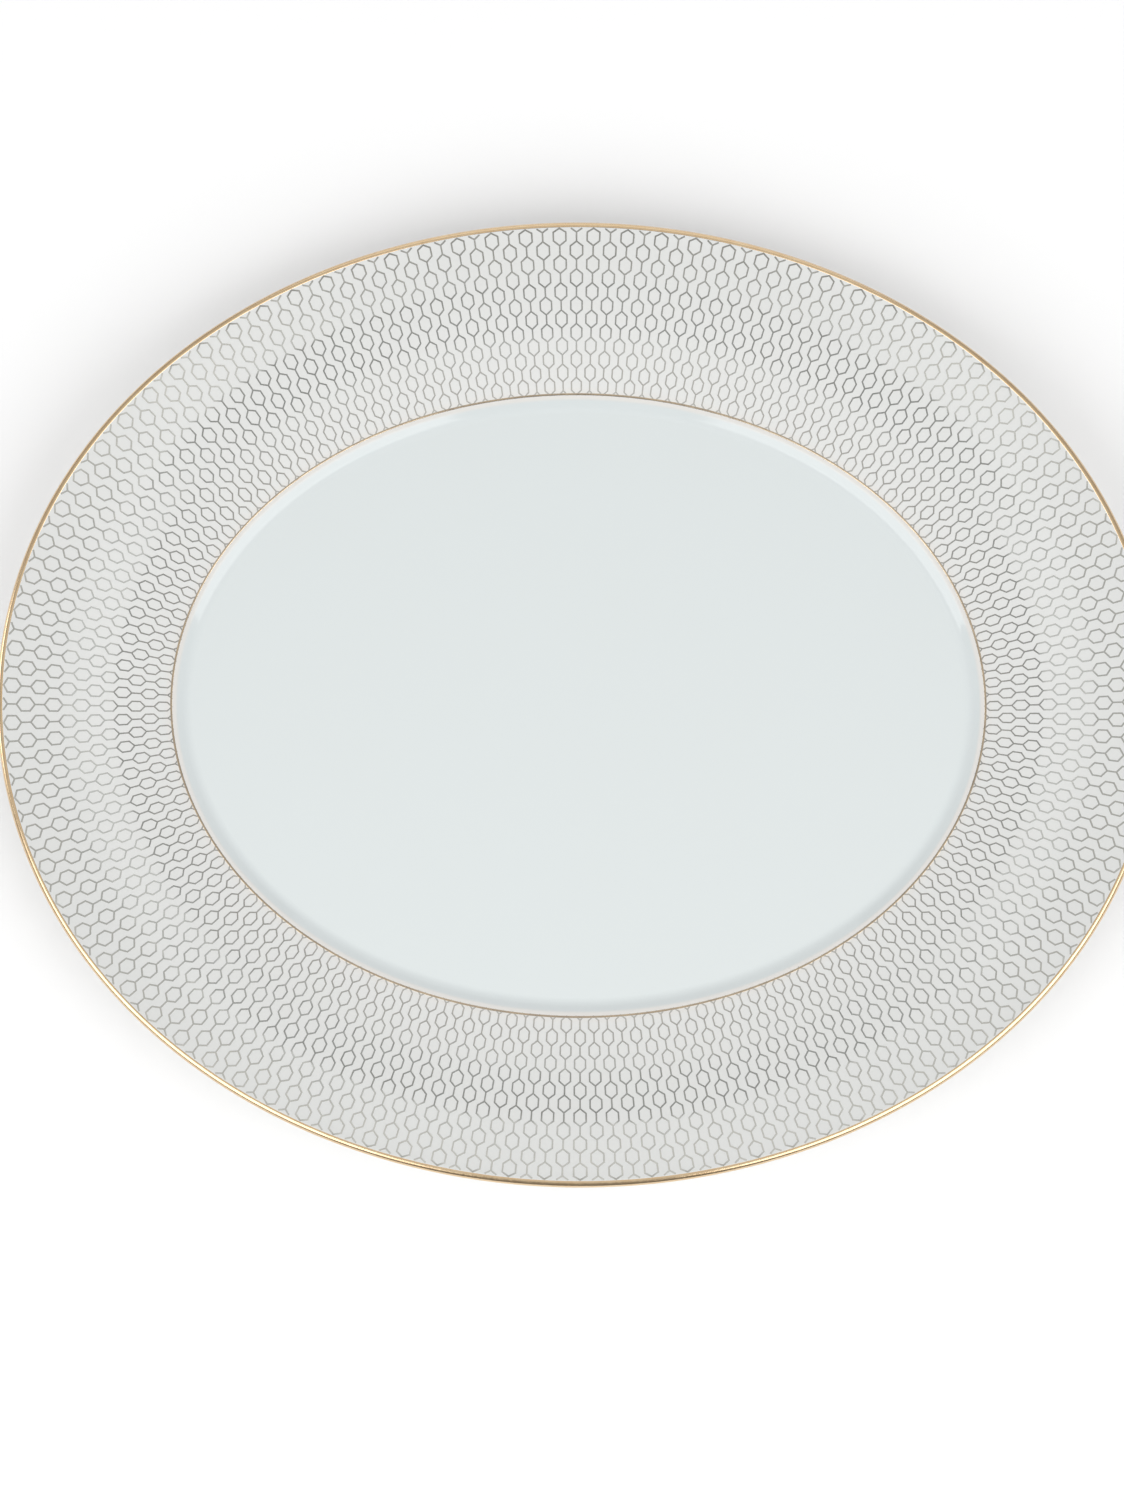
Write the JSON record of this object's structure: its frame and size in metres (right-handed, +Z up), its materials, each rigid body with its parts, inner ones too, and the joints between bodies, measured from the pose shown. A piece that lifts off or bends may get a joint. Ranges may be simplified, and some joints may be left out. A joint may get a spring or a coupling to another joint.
{
  "type": "china serving platter",
  "caption": "Oval china serving platter with a flat well, a wide flared rim printed with a fine lattice, gold lines at the well and round the edge, and a foot ring.",
  "frame": {"origin": "centre of the foot ring's face, on the surface that the platter stands on", "axes": "+X along the platter's length, +Y across it, +Z up out of the well"},
  "size_m": [0.3298, 0.2766, 0.0244],
  "materials": {
    "bare_china": "bare fired china, smooth and matt",
    "glaze": "clear gloss glaze over white china",
    "border_print": "printed metallic lustre, grey to pale gold",
    "gold": "burnished overglaze gold"
  },
  "bodies": {
    "root": {"china_body": "bare_china", "clear_glaze": "glaze", "recess_glaze": "glaze", "lattice_border": "border_print", "gold_well_line": "gold", "gold_edge_band": "gold"}
  },
  "joints": []
}
